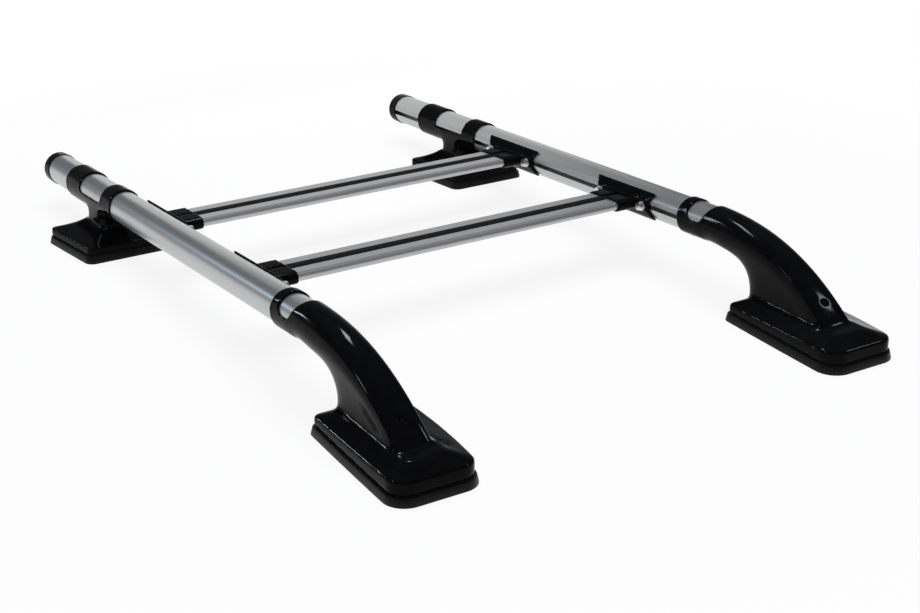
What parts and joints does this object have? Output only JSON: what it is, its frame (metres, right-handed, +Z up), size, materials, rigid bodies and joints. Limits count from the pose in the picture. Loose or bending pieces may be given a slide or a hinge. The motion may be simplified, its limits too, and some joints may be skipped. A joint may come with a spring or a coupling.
{
  "type": "roof rack",
  "caption": "Roof rack with round satin rails on glossy moulded feet and rubber pads, joined by flat crossbars whose clamp brackets slide along grooves in the rails.",
  "frame": {"origin": "on the floor under the middle of the rack", "axes": "+X across to the right-hand rail, +Y along the rack to its rear, +Z up"},
  "size_m": [1.0048, 1.466, 0.1661],
  "materials": {
    "satin_aluminium": "satin anodised",
    "gloss_black": "gloss",
    "black_rubber": "semi-matt",
    "zinc_steel": "bright zinc plated"
  },
  "bodies": {
    "rails": {"left_rail_tube": "satin_aluminium", "left_rear_end_cap": "gloss_black", "left_rear_foot": "gloss_black", "left_rear_foot_pad": "black_rubber", "left_rear_mount_plate": "zinc_steel", "left_rear_tube_screws": "zinc_steel", "left_front_foot": "gloss_black", "left_front_foot_pad": "black_rubber", "left_front_mount_plate": "zinc_steel", "left_front_tube_screw": "zinc_steel", "left_front_screw_plug": "gloss_black", "right_rail_tube": "satin_aluminium", "right_rear_end_cap": "gloss_black", "right_rear_foot": "gloss_black", "right_rear_foot_pad": "black_rubber", "right_rear_mount_plate": "zinc_steel", "right_rear_tube_screws": "zinc_steel", "right_front_foot": "gloss_black", "right_front_foot_pad": "black_rubber", "right_front_mount_plate": "zinc_steel", "right_front_tube_screw": "zinc_steel", "right_front_screw_plug": "gloss_black"},
    "front_crossbar": {"front_crossbar": "satin_aluminium", "front_rubber_strip": "black_rubber", "front_left_bracket": "gloss_black", "front_right_bracket": "gloss_black", "front_clamp_bolts": "zinc_steel", "front_clamp_washers": "zinc_steel", "front_t_nuts": "zinc_steel", "front_bar_screws": "zinc_steel"},
    "rear_crossbar": {"rear_crossbar": "satin_aluminium", "rear_rubber_strip": "black_rubber", "rear_left_bracket": "gloss_black", "rear_right_bracket": "gloss_black", "rear_clamp_bolts": "zinc_steel", "rear_clamp_washers": "zinc_steel", "rear_t_nuts": "zinc_steel", "rear_bar_screws": "zinc_steel"}
  },
  "joints": [
    {"name": "front_crossbar_slide", "type": "slide", "parent": "rails", "child": "front_crossbar", "axis": [0, 0.9987, -0.0515], "range_m": [-0.062, 0.095]},
    {"name": "rear_crossbar_slide", "type": "slide", "parent": "rails", "child": "rear_crossbar", "axis": [0, 0.9987, -0.0515], "range_m": [-0.095, 0.05]}
  ]
}
